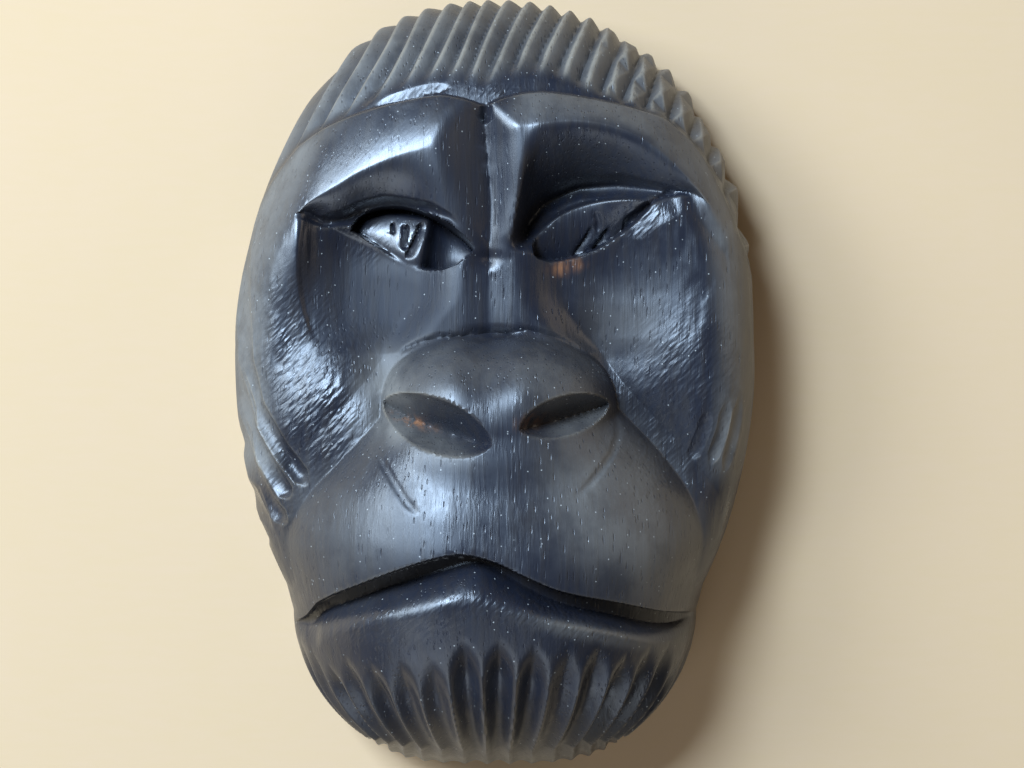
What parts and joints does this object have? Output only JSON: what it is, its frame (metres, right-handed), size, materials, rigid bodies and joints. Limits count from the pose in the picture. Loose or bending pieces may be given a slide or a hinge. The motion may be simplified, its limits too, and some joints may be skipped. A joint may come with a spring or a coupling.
{
  "type": "miniature gorilla mask",
  "caption": "Small carved wooden gorilla face mask with a heavy brow, sunken almond eyes, broad nose, closed mouth and gouge-cut hair and beard, solid with a flat back.",
  "frame": {"origin": "centre of the flat back, which lies on the ground", "axes": "+Z out of the face, +Y towards the top of the head, +X towards the right of the face as seen from in front"},
  "size_m": [0.0716, 0.1058, 0.0381],
  "materials": {
    "stained_wood": "black-stained hardwood with a rubbed wax finish, semi-gloss"
  },
  "bodies": {
    "root": {"gorilla_mask": "stained_wood"}
  },
  "joints": []
}
